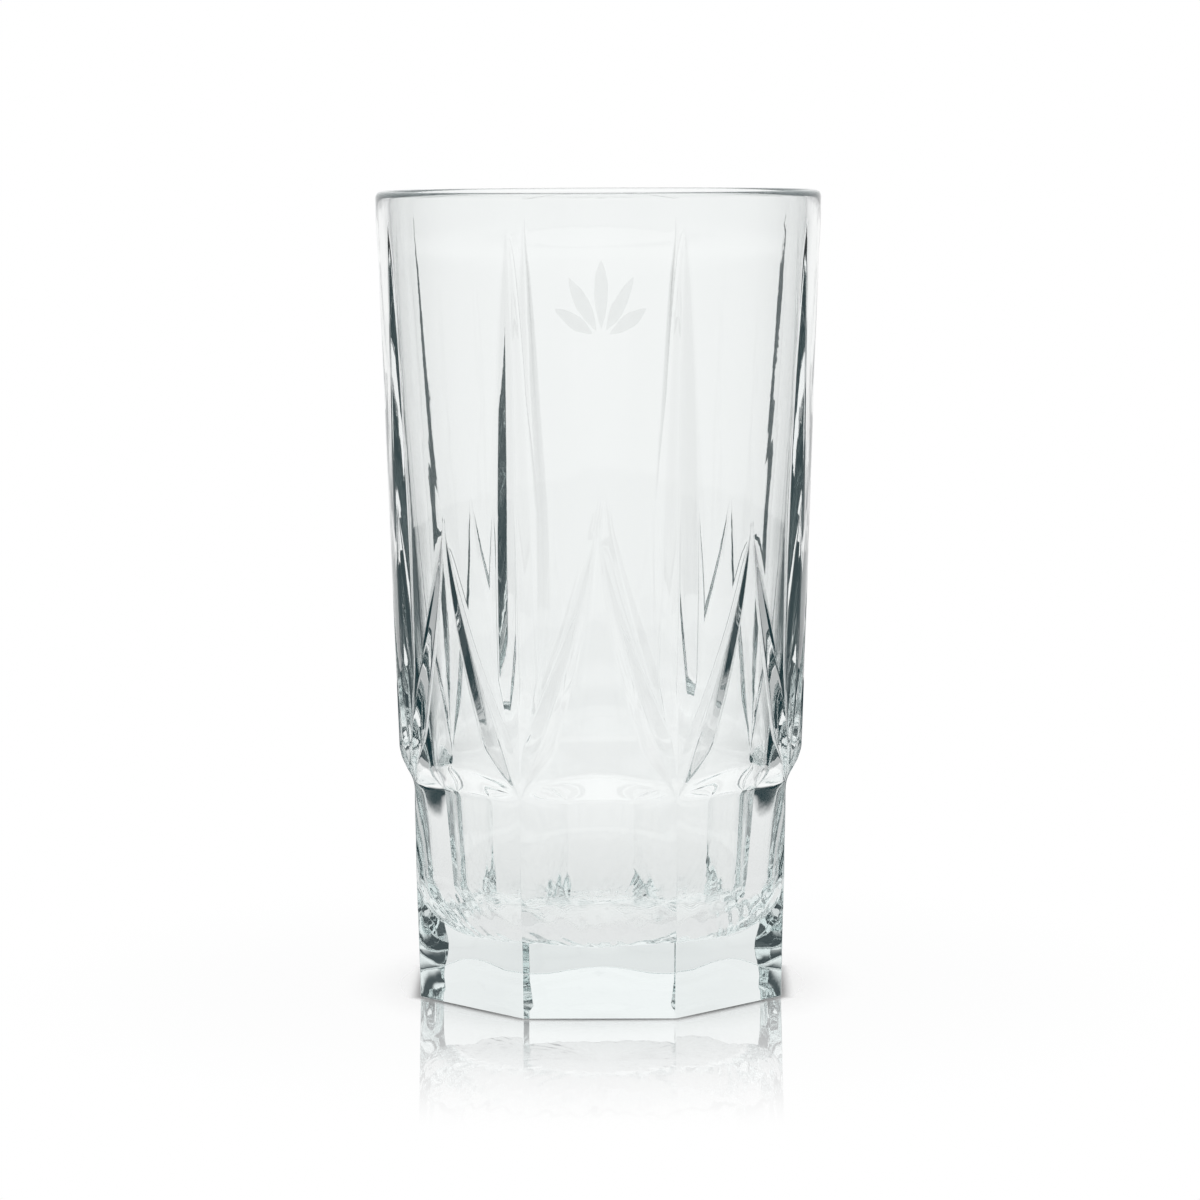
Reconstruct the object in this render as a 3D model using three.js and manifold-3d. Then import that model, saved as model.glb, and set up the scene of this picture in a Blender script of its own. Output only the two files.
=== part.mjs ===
// Highball glass: a heavy pressed-glass tumbler with an eight-sided foot, mitre grooves that fan out
// of each corner of the foot, a plain round rim, and a small leaf ornament printed on its back panel.
// Millimetres, +Z up. The origin is the centre of the underside. The front panel faces -Y.

import * as THREE from 'three';
import { mergeVertices } from 'three/addons/utils/BufferGeometryUtils.js';
import Module from 'manifold-3d';

// Round body
const HEIGHT = 137.2;
const RIM_RADIUS = 38.0;
const RIM_BAND_HEIGHT = 6.2; // plain band below the rim
const RIM_BAND_DRAFT = 0.06; // how much narrower the band is at its lower edge
const FLARE_HEIGHT = 5.0; // short flare below the band
const FLARE_DEPTH = 0.34; // how much narrower the body is below the flare
const WAIST_RADIUS = 34.6; // round body at the top of the foot

// Eight-sided foot
const FACES = 8;
const FOOT_HEIGHT = 37.0; // fold line between the foot and the sloped shoulder
const FOOT_FLATS_BOTTOM = 61.7; // across flats at the underside
const FOOT_FLATS_TOP = 63.5; // across flats at the fold line
const FOOT_BEVEL = 0.7; // bevel round the underside
const SHOULDER_ANGLE = THREE.MathUtils.degToRad(36.7); // slope of the shoulder, from vertical

// Mitre grooves: one upright and two slanting ones from each corner of the foot
const UPRIGHT_FLANK = THREE.MathUtils.degToRad(17.5); // flank slope at the fold line, from the surface
const UPRIGHT_FLANK_TOP = THREE.MathUtils.degToRad(30.4); // the same at the groove's top
const UPRIGHT_FAN_HEIGHT = 20.0; // rise from the corner to an upright groove's widest place
const UPRIGHT_HALF_WIDTH = 3.5;
const UPRIGHT_TOP_GAP = 5.4; // plain glass between an upright groove and the rim
const SLANT_FLANK = THREE.MathUtils.degToRad(28); // flank slope, from the surface
const SLANT_FAN_HEIGHT = 8.5; // rise from the corner to a slanting groove's widest place
const SLANT_HALF_WIDTH = 2.8;
const SLANT_RISE = 47.0; // rise from the foot's fold line to the peak where slanting grooves meet
const SLANT_BOW = 0.65; // how far slanting grooves bow out: 0 is straight, 1 a quarter sine
const MITRE_OVERCUT = 0.6; // how far a cutter stands out of the surface, in groove depths

// Inside, as the plunger leaves it
const RIM_WALL = 2.3; // wall at the fully rounded lip
const FLOOR_THICKNESS = 10.3;
const FLOOR_FILLET = 10.0;
const CAVITY_LOW_RADIUS = 27.4; // inside radius where the wall meets the floor fillet
const CAVITY_BEND_RADIUS = 33.1; // control point of the gentle curve up the wall
const CAVITY_BEND_HEIGHT = 80.0;

// Underside
const PUNT_RADIUS = 22.0; // shallow hollow inside the bearing ring
const PUNT_DEPTH = 0.8;

// Printed leaf ornament on the back panel
const LEAF_TILTS = [-56, -28, 0, 28, 56].map((tilt) => THREE.MathUtils.degToRad(tilt));
const LEAF_NAMES = ['far_left', 'left', 'middle', 'right', 'far_right'];
const LEAF_LENGTH = 13.5; // upright leaf
const LEAF_SHORTENING = 2.5; // each step outwards makes a leaf this much shorter
const LEAF_WIDTH = 2.6;
const LEAF_ROOT_GAP = 2.0; // from the fan's root to the foot of each leaf
const LEAF_ROOT_DROP = 28.2; // the fan's root below the rim
const PRINT_THICKNESS = 0.3;
const PRINT_CLEARANCE = 0.1;

// Fineness of the curves
const SEGMENTS_PER_FACE = 8;
const ARC_STEPS = 6;
const WALL_STEPS = 10;
const UPRIGHT_SHARES = [0, 0.4, 0.7, 0.9, 1]; // stations from an upright groove's widest place to its top
const SLANT_STEPS = 4; // stations from a slanting groove's widest place to its peak

const SEGMENTS = FACES * SEGMENTS_PER_FACE;
const HALF_FACE = Math.PI / FACES;
const BAND_BOTTOM = HEIGHT - RIM_BAND_HEIGHT;
const FLARE_BOTTOM = BAND_BOTTOM - FLARE_HEIGHT;
const BAND_RADIUS = RIM_RADIUS - RIM_BAND_DRAFT;
const FLARE_RADIUS = BAND_RADIUS - FLARE_DEPTH;
const LIP_RADIUS = RIM_WALL / 2;
const UPRIGHT_TOP = HEIGHT - UPRIGHT_TOP_GAP;
const PEAK_HEIGHT = FOOT_HEIGHT + SLANT_RISE;

const wasm = await Module();
wasm.setup();

// A closed geometry as a solid: only positions are kept, shared corners are merged, and the
// triangles that fold to nothing at the axis are dropped.
function toSolid(geometry) {
  const bare = geometry.clone();
  bare.deleteAttribute('normal');
  bare.deleteAttribute('uv');
  const merged = mergeVertices(bare, 1e-4);
  const kept = [];
  for (let i = 0; i < merged.index.count; i += 3) {
    const [a, b, c] = [0, 1, 2].map((k) => merged.index.getX(i + k));
    if (a !== b && b !== c && c !== a) kept.push(a, b, c);
  }
  const vertProperties = Float32Array.from(merged.attributes.position.array);
  return new wasm.Manifold(new wasm.Mesh({ numProp: 3, vertProperties, triVerts: Uint32Array.from(kept) }));
}

// The triangles of a solid as a geometry.
function toGeometry(solid) {
  const { vertProperties, triVerts } = solid.getMesh();
  const geometry = new THREE.BufferGeometry();
  geometry.setAttribute('position', new THREE.Float32BufferAttribute(vertProperties, 3));
  geometry.setIndex(Array.from(triVerts));
  geometry.computeVertexNormals();
  return geometry;
}

// Outward direction at an angle from the front, turning towards +X.
function outward(angle) {
  return new THREE.Vector3(Math.sin(angle), -Math.cos(angle), 0);
}

// Radius of the round body at a height, before anything is cut into it.
function bodyRadius(z) {
  const { lerp, clamp } = THREE.MathUtils;
  if (z >= BAND_BOTTOM) {
    return lerp(BAND_RADIUS, RIM_RADIUS, clamp((z - BAND_BOTTOM) / RIM_BAND_HEIGHT, 0, 1));
  }
  if (z >= FLARE_BOTTOM) {
    return lerp(FLARE_RADIUS, BAND_RADIUS, (z - FLARE_BOTTOM) / FLARE_HEIGHT);
  }
  return lerp(WAIST_RADIUS, FLARE_RADIUS, Math.max(0, (z - FOOT_HEIGHT) / (FLARE_BOTTOM - FOOT_HEIGHT)));
}

// Points of a circular arc in the profile plane, ends included.
function arc(centreRadius, centreHeight, radius, start, end) {
  return Array.from({ length: ARC_STEPS + 1 }, (_, i) => {
    const angle = THREE.MathUtils.lerp(start, end, i / ARC_STEPS);
    const centre = new THREE.Vector2(centreRadius, centreHeight);
    return centre.add(new THREE.Vector2(radius * Math.cos(angle), radius * Math.sin(angle)));
  });
}

// Blank of the glass: underside, round outside, rounded lip, cavity wall and floor, turned about Z.
function turnedBlank() {
  const lipHeight = HEIGHT - LIP_RADIUS;
  const lipCentre = RIM_RADIUS - LIP_RADIUS;
  const fillet = Math.min(FLOOR_FILLET, CAVITY_LOW_RADIUS);
  const puntArcRadius = (PUNT_RADIUS ** 2 + PUNT_DEPTH ** 2) / (2 * PUNT_DEPTH);
  const puntHalfAngle = Math.asin(PUNT_RADIUS / puntArcRadius);
  const punt = arc(0, PUNT_DEPTH - puntArcRadius, puntArcRadius, Math.PI / 2, Math.PI / 2 - puntHalfAngle);
  punt[0].x = 0;
  const outside = [
    new THREE.Vector2(WAIST_RADIUS, 0),
    new THREE.Vector2(WAIST_RADIUS, FOOT_HEIGHT),
    new THREE.Vector2(FLARE_RADIUS, FLARE_BOTTOM),
    new THREE.Vector2(BAND_RADIUS, BAND_BOTTOM),
  ];
  const lip = arc(lipCentre, lipHeight, LIP_RADIUS, 0, Math.PI);
  const wall = new THREE.QuadraticBezierCurve(
    new THREE.Vector2(lipCentre - LIP_RADIUS, lipHeight),
    new THREE.Vector2(CAVITY_BEND_RADIUS, CAVITY_BEND_HEIGHT),
    new THREE.Vector2(CAVITY_LOW_RADIUS, FLOOR_THICKNESS + fillet),
  ).getPoints(WALL_STEPS);
  const floor = arc(CAVITY_LOW_RADIUS - fillet, FLOOR_THICKNESS + fillet, fillet, 0, -Math.PI / 2);
  const centre = new THREE.Vector2(0, FLOOR_THICKNESS);
  const profile = [...punt, ...outside, ...lip, ...wall.slice(1), ...floor.slice(1), centre];
  const blank = new THREE.LatheGeometry(profile, SEGMENTS);
  blank.rotateX(Math.PI / 2);
  return toSolid(blank);
}

// Cutter for one side of the foot: the bevel at the underside, the drafted flat up to the fold line,
// and the shoulder that slopes out from there until it has left the round body.
function sideCutter(angle) {
  const reach = RIM_RADIUS * 2;
  const bottom = FOOT_FLATS_BOTTOM / 2;
  const top = FOOT_FLATS_TOP / 2;
  const slope = Math.tan(SHOULDER_ANGLE);
  const profile = new THREE.Shape([
    new THREE.Vector2(bottom - FOOT_BEVEL * 2, -FOOT_BEVEL),
    new THREE.Vector2(bottom, FOOT_BEVEL),
    new THREE.Vector2(top, FOOT_HEIGHT),
    new THREE.Vector2(reach, FOOT_HEIGHT + (reach - top) / slope),
    new THREE.Vector2(reach, -FOOT_BEVEL),
  ]);
  const cutter = new THREE.ExtrudeGeometry(profile, { depth: 2 * reach, bevelEnabled: false });
  cutter.translate(0, 0, -reach);
  const up = new THREE.Vector3(0, 0, 1);
  const along = outward(angle);
  cutter.applyMatrix4(new THREE.Matrix4().makeBasis(along, up, along.clone().cross(up)));
  return toSolid(cutter);
}

// Cutter for one mitre groove: three-cornered sections strung along a line on the round body. Each
// station is an angle, a height, a half width and a flank slope; the first and last taper to a point.
function mitreCutter(stations) {
  const surface = stations.map(({ angle, z }) => outward(angle).multiplyScalar(bodyRadius(z)).setZ(z));
  const positions = [];
  stations.forEach(({ angle, halfWidth, flank }, i) => {
    const normal = outward(angle);
    const next = surface[Math.min(i + 1, surface.length - 1)];
    const previous = surface[Math.max(i - 1, 0)];
    const side = next.clone().sub(previous).cross(normal).normalize();
    const depth = halfWidth * Math.tan(flank);
    const wide = side.multiplyScalar(halfWidth * (1 + MITRE_OVERCUT));
    const top = surface[i].clone().addScaledVector(normal, depth * MITRE_OVERCUT);
    const valley = surface[i].clone().addScaledVector(normal, -depth);
    positions.push(valley, top.clone().add(wide), top.clone().sub(wide));
  });
  const index = [];
  for (let i = 0; i + 1 < stations.length; i += 1) {
    for (let k = 0; k < 3; k += 1) {
      const [a, b] = [3 * i + k, 3 * i + ((k + 1) % 3)];
      index.push(a, a + 3, b, b, a + 3, b + 3);
    }
  }
  const geometry = new THREE.BufferGeometry().setFromPoints(positions);
  geometry.setIndex(index);
  return toSolid(geometry);
}

// Stations of the upright groove at a corner: from the fold line to its widest place, then narrowing
// as (1 - share squared) to the power 0.75 to its top, while its flanks grow steeper.
function uprightStations(cornerAngle) {
  const { lerp } = THREE.MathUtils;
  const widest = FOOT_HEIGHT + UPRIGHT_FAN_HEIGHT;
  const start = { angle: cornerAngle, z: FOOT_HEIGHT, halfWidth: 0, flank: UPRIGHT_FLANK };
  const rest = UPRIGHT_SHARES.map((share) => {
    const z = lerp(widest, UPRIGHT_TOP, share);
    return {
      angle: cornerAngle,
      z,
      halfWidth: UPRIGHT_HALF_WIDTH * (1 - share ** 2) ** 0.75,
      flank: lerp(UPRIGHT_FLANK, UPRIGHT_FLANK_TOP, (z - FOOT_HEIGHT) / (UPRIGHT_TOP - FOOT_HEIGHT)),
    };
  });
  return [start, ...rest];
}

// Stations of a slanting groove to one hand of a corner: it starts at the corner, is soon at its widest,
// and narrows evenly to the peak in the middle of the face. Its line is part straight, part a quarter sine.
function slantStations(cornerAngle, hand) {
  const { lerp } = THREE.MathUtils;
  const fanShare = SLANT_FAN_HEIGHT / SLANT_RISE;
  const start = { angle: cornerAngle, z: FOOT_HEIGHT, halfWidth: 0, flank: SLANT_FLANK };
  const rest = Array.from({ length: SLANT_STEPS + 1 }, (_, i) => {
    const climbed = lerp(fanShare, 1, i / SLANT_STEPS);
    const across = lerp(climbed, Math.sin((climbed * Math.PI) / 2), SLANT_BOW);
    return {
      angle: cornerAngle + hand * HALF_FACE * across,
      z: lerp(FOOT_HEIGHT, PEAK_HEIGHT, climbed),
      halfWidth: SLANT_HALF_WIDTH * (1 - i / SLANT_STEPS),
      flank: SLANT_FLANK,
    };
  });
  return [start, ...rest];
}

// The three grooves that start at one corner of the foot.
function fanCutters(cornerAngle) {
  const slants = [-1, 1].map((hand) => slantStations(cornerAngle, hand));
  return [uprightStations(cornerAngle), ...slants].map(mitreCutter);
}

// The pressed glass: the blank with its foot faced and its grooves cut.
function tumbler() {
  let solid = turnedBlank();
  for (let i = 0; i < FACES; i += 1) {
    solid = solid.subtract(sideCutter(2 * i * HALF_FACE));
  }
  for (let i = 0; i < FACES; i += 1) {
    for (const cutter of fanCutters((2 * i + 1) * HALF_FACE)) {
      solid = solid.subtract(cutter);
    }
  }
  const material = new THREE.MeshStandardMaterial({
    color: 0xe6eeea,
    roughness: 0.03,
    metalness: 0,
    transparent: true,
    opacity: 0.35,
  });
  const mesh = new THREE.Mesh(toGeometry(solid), material);
  mesh.name = 'tumbler';
  return mesh;
}

// One printed leaf: a pointed outline with two bowed sides, as a thin plate against the back panel.
function printedLeaf(tilt, stepsOut) {
  const length = LEAF_LENGTH - LEAF_SHORTENING * stepsOut;
  const outline = new THREE.Shape();
  outline.moveTo(0, -length / 2);
  outline.quadraticCurveTo(LEAF_WIDTH, 0, 0, length / 2);
  outline.quadraticCurveTo(-LEAF_WIDTH, 0, 0, -length / 2);
  const plate = new THREE.ExtrudeGeometry(outline, {
    depth: PRINT_THICKNESS,
    bevelEnabled: false,
    curveSegments: ARC_STEPS,
  });
  const middle = LEAF_ROOT_GAP + length / 2;
  const z = HEIGHT - LEAF_ROOT_DROP + middle * Math.cos(tilt);
  const wallRadius = bodyRadius(z);
  const wallSlope = (bodyRadius(z + 1) - bodyRadius(z - 1)) / 2;
  const angle = Math.PI + (middle * Math.sin(tilt)) / wallRadius;
  const normal = outward(angle).setZ(-wallSlope).normalize();
  const along = new THREE.Vector3(0, 0, 1).cross(normal).normalize();
  const mesh = new THREE.Mesh(
    plate,
    new THREE.MeshStandardMaterial({ color: 0xdfe6e2, roughness: 0.35, metalness: 0 }),
  );
  const turned = new THREE.Matrix4().makeBasis(along, normal.clone().cross(along), normal);
  mesh.quaternion.setFromRotationMatrix(turned.multiply(new THREE.Matrix4().makeRotationZ(-tilt)));
  mesh.position.copy(outward(angle).multiplyScalar(wallRadius).setZ(z));
  mesh.position.addScaledVector(normal, PRINT_CLEARANCE);
  return mesh;
}

const group = new THREE.Group();
group.add(tumbler());
LEAF_TILTS.forEach((tilt, i) => {
  const leaf = printedLeaf(tilt, Math.abs(i - (LEAF_TILTS.length - 1) / 2));
  leaf.name = `print_leaf_${LEAF_NAMES[i]}`;
  group.add(leaf);
});

export default group;
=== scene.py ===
"""Highball glass: the looks of a heavy pressed-glass tumbler, built round its packed frame.

Metres, +Z up. The front panel faces -Y. Angles round the glass are measured from the front towards +X.
The wall, grooves, foot and cavity are one closed surface worked out on a grid. The ornament on the back
panel is a fan of five printed leaves.
"""

import math

import bpy
import numpy as np
from bpy.props import FloatProperty, FloatVectorProperty, PointerProperty
from mathutils import Matrix, Vector


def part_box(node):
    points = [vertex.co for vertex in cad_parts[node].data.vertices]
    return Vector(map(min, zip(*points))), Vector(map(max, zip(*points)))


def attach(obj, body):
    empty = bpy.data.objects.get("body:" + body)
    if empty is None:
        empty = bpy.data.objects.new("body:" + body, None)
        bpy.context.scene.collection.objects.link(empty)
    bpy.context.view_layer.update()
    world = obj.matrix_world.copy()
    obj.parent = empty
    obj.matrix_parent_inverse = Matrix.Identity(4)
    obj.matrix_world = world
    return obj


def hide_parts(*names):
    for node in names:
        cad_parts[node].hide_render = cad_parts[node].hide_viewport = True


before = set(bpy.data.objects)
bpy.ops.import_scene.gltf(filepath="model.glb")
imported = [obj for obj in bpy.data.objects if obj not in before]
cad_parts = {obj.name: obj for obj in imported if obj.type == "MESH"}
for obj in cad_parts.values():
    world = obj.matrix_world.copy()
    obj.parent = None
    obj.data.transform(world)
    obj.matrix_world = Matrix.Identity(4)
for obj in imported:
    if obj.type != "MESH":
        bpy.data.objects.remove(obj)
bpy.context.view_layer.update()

bl_info = {
    "name": "Pressed highball glass",
    "version": (1, 0, 0),
    "blender": (4, 5, 0),
    "location": "3D View > Sidebar > Glass",
    "description": "Builds a pressed highball glass, its printed leaves and a white studio",
    "category": "Object",
}

MM = 0.001
FACES = 8
HALF_FACE = math.pi / FACES
TUMBLER_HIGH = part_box("tumbler")[1]
LEAF_NAMES = ("far_left", "left", "middle", "right", "far_right")
SENSOR_WIDTH = 36.0  # millimetres, as Blender counts a sensor
MOST_BOUNCES = 64  # enough for rays that the glass mirrors inside itself many times
GLOSSY_BOUNCES = 48


def size(name, millimetres, description):
    """A length that the user can set, stored in metres."""
    return FloatProperty(name=name, description=description, default=millimetres * MM,
                         unit="LENGTH", precision=5)


def turn(name, degrees, description):
    """An angle that the user can set."""
    return FloatProperty(name=name, description=description, default=math.radians(degrees),
                         subtype="ANGLE")


def share(name, default, description):
    """A plain number that the user can set."""
    return FloatProperty(name=name, description=description, default=default, precision=4)


def colour(name, default, description):
    """A linear colour that the user can set."""
    return FloatVectorProperty(name=name, description=description, default=default, size=3,
                               subtype="COLOR", min=0.0, max=1.0)


class TumblerSizes(bpy.types.PropertyGroup):
    """Sizes of the pressed glass body."""

    height: size("Height", TUMBLER_HIGH.z / MM, "From the underside to the rim")
    rim_radius: size("Rim radius", TUMBLER_HIGH.x / MM, "Outside radius of the rim")
    band_height: size("Rim band", 6.2, "Plain band below the rim")
    band_draft: size("Band draft", 0.06, "How much narrower the band is at its lower edge")
    flare_height: size("Flare height", 5.0, "Short flare below the band")
    flare_depth: size("Flare depth", 0.34, "How much narrower the body is below the flare")
    waist_radius: size("Waist radius", 34.6, "Round body at the top of the foot")
    foot_height: size("Foot height", 37.0, "Fold line between the foot and the shoulder")
    flats_bottom: size("Flats at the underside", 61.7, "Foot across flats at the underside")
    flats_top: size("Flats at the fold", 63.5, "Foot across flats at the fold line")
    foot_fillet: size("Underside fillet", 0.2, "Rounding of the edge that the glass stands on")
    corner_fillet: size("Corner fillet", 0.25, "Rounding of the foot's upright corners")
    shoulder_fillet: size("Shoulder fillet", 14.0, "Rounding of the shoulder round each corner")
    shoulder_angle: turn("Shoulder slope", 36.7, "Slope of the shoulder, from vertical")
    fold_ease: size("Fold easing", 0.5, "Softness of the fold below the shoulder")
    arch_ease: size("Arch easing", 0.9, "Softness of the edge above the shoulder")
    corner_ease: size("Corner easing", 1.4, "How much softer both edges are at a corner")
    corner_reach: size("Corner reach", 4.0, "How far from a corner the extra softness goes")
    upright_flank: turn("Upright flank", 17.5, "Slope of an upright groove's flanks at the fold line")
    upright_flank_top: turn("Upright flank at the top", 30.4, "Slope of those flanks at the groove's top")
    slant_flank: turn("Slant flank", 28.0, "Slope of a slanting groove's flanks, from the surface")
    valley_ease: size("Valley easing", 0.12, "Rounding at the bottom of the grooves")
    edge_ease: size("Edge easing", 0.35, "Rounding along the edges of the grooves")
    fan_height: size("Fan height", 20.0, "Rise from the corner to an upright groove's widest place")
    upright_half_width: size("Upright half width", 3.5, "Widest half width of an upright groove")
    upright_top_gap: size("Upright top gap", 5.4, "Plain glass between upright groove and rim")
    slant_fan_height: size("Slant fan height", 8.5, "Rise to a slanting groove's widest place")
    slant_half_width: size("Slant half width", 2.8, "Widest half width of a slanting groove")
    slant_bow: share("Slant bow", 0.65, "Bow of the slanting grooves, from straight to a quarter sine")
    slant_rise: size("Slant rise", 47.0, "Rise from the fold line to where slanting grooves meet")
    rim_wall: size("Wall at the rim", 2.3, "Wall at the fully rounded lip")
    floor_thickness: size("Floor", 10.9, "Glass under the cavity")
    floor_fillet: size("Floor fillet", 10.0, "Rounding between the floor and the wall inside")
    cavity_radius: size("Cavity radius", 27.4, "Inside radius where the wall meets the floor fillet")
    bend_radius: size("Bend radius", 33.1, "Control point of the curve up the inside wall")
    bend_height: size("Bend height", 80.0, "Height of that control point")
    chill_depth: size("Chill marks", 0.17, "Ripples that the cold plunger leaves round the cavity's floor")
    chill_full: size("Chill full", 14.5, "Height below which those ripples are at their deepest")
    chill_top: size("Chill top", 22.0, "Height at which they have died away")
    face_waves: size("Face waves", 0.06, "Slow waves in the sides of the foot")
    face_sink: size("Face sink", 0.45, "How far the middle of each side sinks in near the underside")
    sink_height: size("Sink height", 10.0, "Height at which it sinks most")
    sink_reach: size("Sink reach", 3.5, "How far up and down the sinking reaches")
    punt_radius: size("Punt radius", 22.0, "Shallow hollow under the foot")
    punt_depth: size("Punt depth", 0.8, "Depth of that hollow")


class PrintSizes(bpy.types.PropertyGroup):
    """Sizes of the printed leaf ornament on the back panel."""

    leaf_step: turn("Leaf step", 28.0, "Turn from each leaf to the next")
    leaf_length: size("Leaf length", 13.5, "Length of the upright leaf")
    leaf_shortening: size("Shortening", 2.5, "Each step outwards makes a leaf this much shorter")
    leaf_width: size("Leaf width", 2.6, "Width of a leaf at its middle")
    root_gap: size("Root gap", 2.0, "From the fan's root to the foot of each leaf")
    root_drop: size("Root drop", 28.2, "The fan's root below the rim")
    thickness: size("Print thickness", 0.06, "Thickness of the enamel")
    clearance: size("Print clearance", 0.02, "Hairline between the enamel and the wall")


class FinishColours(bpy.types.PropertyGroup):
    """Colours and finish of the glass and the enamel."""

    glass: colour("Glass", (0.985, 0.995, 0.992), "Tint of each surface of the glass")
    melt: colour("Melt", (0.45, 0.66, 0.66), "Colour that thick glass tends to")
    melt_density: share("Melt density", 3.0, "How strongly thick glass takes that colour")
    glass_ior: share("Refractive index", 1.52, "Refractive index of the glass")
    glass_wave: share("Glass waves", 70.0, "Slow waves of the fire polish, per metre")
    glass_ripple: share("Glass ripples", 420.0, "Fine ripples of the fire polish, per metre")
    glass_film: share("Glass film", 0.02, "Roughness where the film on the glass is thickest")
    film_from: share("Film from", 0.35, "Share of the film's noise at which the film begins")
    film_full: share("Film full", 0.75, "Share at which it is thickest")
    glass_bump: share("Glass bump", 0.25, "Strength of the fire polish's waves")
    glass_bump_height: size("Glass bump height", 0.1, "Height of those waves")
    enamel: colour("Enamel", (0.83, 0.87, 0.85), "Printed leaves")
    enamel_thin: colour("Thin enamel", (0.72, 0.77, 0.75), "Printed leaves where the print is thin")
    enamel_wave: share("Enamel waves", 500.0, "Slow waves of the enamel, per metre")
    enamel_ripple: share("Enamel ripples", 2600.0, "Fine ripples of the enamel, per metre")
    enamel_smooth: share("Enamel smooth", 0.30, "Roughness where the enamel is smoothest")
    enamel_rough: share("Enamel rough", 0.45, "Roughness where it is roughest")
    enamel_bump: share("Enamel bump", 0.3, "Strength of the enamel's waves")
    enamel_bump_height: size("Enamel bump height", 0.02, "Height of those waves")
    enamel_cover: share("Enamel cover", 0.075, "How much of what lies behind the enamel covers")


class StudioSizes(bpy.types.PropertyGroup):
    """The white studio and its camera."""

    camera_distance: size("Camera distance", 705.6, "From the glass's axis, level")
    camera_height: size("Camera height", 145.5, "Above the floor")
    camera_azimuth: turn("Camera azimuth", 0.72, "Turn round the glass from the front")
    camera_pitch: turn("Camera pitch", 6.36, "How far the camera looks down")
    camera_roll: turn("Camera roll", -0.254, "Lean of the camera")
    camera_lens: FloatProperty(name="Lens", description="Focal length on a 36 mm sensor",
                               default=123.5, unit="CAMERA")
    camera_clip: size("Camera clip", 10.0, "Nothing nearer to the camera shows")
    mirror_limit: share("Mirror limit", 2.0, "Mirrorings inside the glass after which a ray meets the dark")
    dark: colour("Dark", (0.012, 0.034, 0.040), "Light that such a ray meets")
    gap_shade: share("Gap shade", 0.08, "How much dimmer the gaps between the eight light panels are")
    rise_from: turn("Rise from", 1.5, "Elevation from which a ray counts one mirroring less")
    rise_full: turn("Rise full", 5.0, "Elevation from which it counts a full one less")
    backdrop: turn("Backdrop", 30.0, "Mirrored rays within this turn of +Y meet the white backdrop")
    backdrop_edge: turn("Backdrop edge", 38.0, "Outside this turn they miss it")
    overhead_from: turn("Overhead from", 6.0, "Elevation at which the white overhead begins")
    overhead_full: turn("Overhead full", 16.0, "Elevation from which it is all white")
    floor_radius: size("Floor radius", 400.0, "Radius of the floor")
    floor_drop: size("Floor drop", 0.05, "Hairline under the glass")
    # The matt floor shows only near the glass and is greyer than the white further out: a painted shade round
    # the foot, on top of the real shadow that the matt floor catches
    matt_floor_and_shade: colour("Floor", (0.92, 0.92, 0.92), "Matt white of the floor")
    # Painted contact shadow: a dark line in the floor's colour along the foot's edge
    contact_shade: share("Contact shade", 0.85, "How dark the floor is where the foot's edge touches it")
    contact_near: size("Contact near", 30.8, "The dark line begins at this distance, square to the sides")
    contact_far: size("Contact far", 33.6, "It ends at this distance")
    shade_near: size("Shade near", 28.0, "The floor keeps the full shadow inside this radius")
    shade_far: size("Shade far", 46.0, "The floor is plain white outside this radius")
    # Painted shade: the glow of the floor seen through the glass is darkened towards the glass
    glass_shade: share("Glass shade", 0.17, "How much the glass shades the floor that shows through it")
    glass_shade_far: size("Glass shade far", 180.0, "That shade ends at this radius")
    white_near: size("White near", 112.0, "Mirrored rays meet the white floor inside this radius")
    white_far: size("White far", 130.0, "Outside this radius they meet the dark room")
    near_count: share("Near count", 0.22, "What a mirroring counts for on the white floor")
    far_count: share("Far count", 3.2, "What it counts for outside")
    polish: share("Polish", 0.66, "How much the floor mirrors beside the glass")
    polish_near: size("Polish near", 30.0, "The floor is fully polished inside this radius")
    polish_far: size("Polish far", 112.0, "The floor is matt outside this radius")
    polish_tint: colour("Polish tint", (0.97, 0.97, 0.97), "Tint of what the floor mirrors")
    polish_rough: share("Polish roughness", 0.01, "How blurred it is")


def smooth_min(a, b, reach):
    """The lesser of a and b. Where they differ by less than reach, the corner between them is eased by a
    parabola that takes off a quarter of the reach where they cross."""
    overlap = np.maximum(reach - np.abs(a - b), 0.0) / reach
    return np.minimum(a, b) - overlap**2 * reach / 4


def body_radius(s, z):
    """Radius of the round body: straight runs between the waist, the flare, the band and the rim. Below
    the fold line it opens out again, so that only the eight sides shape the foot."""
    band_bottom = s.height - s.band_height
    band_radius = s.rim_radius - s.band_draft
    heights = [0.0, s.foot_height, band_bottom - s.flare_height, band_bottom, s.height]
    radii = [s.rim_radius, s.waist_radius, band_radius - s.flare_depth, band_radius, s.rim_radius]
    return np.interp(z, heights, radii)


UPRIGHT_TAPER = 0.75  # power with which an upright groove narrows to its top


def upright_half_width(s, z):
    """Half width of an upright groove: it grows evenly to its widest place over the fan, then shrinks as
    (1 - share squared) to the power of its taper up to its top."""
    rise = (z - s.foot_height) / s.fan_height
    top = s.height - s.upright_top_gap
    climbed = (z - s.foot_height - s.fan_height) / (top - s.foot_height - s.fan_height)
    shrink = np.clip(1 - np.clip(climbed, 0, 1)**2, 0, 1)**UPRIGHT_TAPER
    return s.upright_half_width * np.clip(rise, 0, 1) * shrink


def upright_slope(s, z):
    """Slope of an upright groove's flanks: the angle grows evenly from the fold line to the groove's top."""
    climbed = np.clip((z - s.foot_height) / (s.height - s.upright_top_gap - s.foot_height), 0, 1)
    return np.tan(s.upright_flank + (s.upright_flank_top - s.upright_flank) * climbed)


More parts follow.
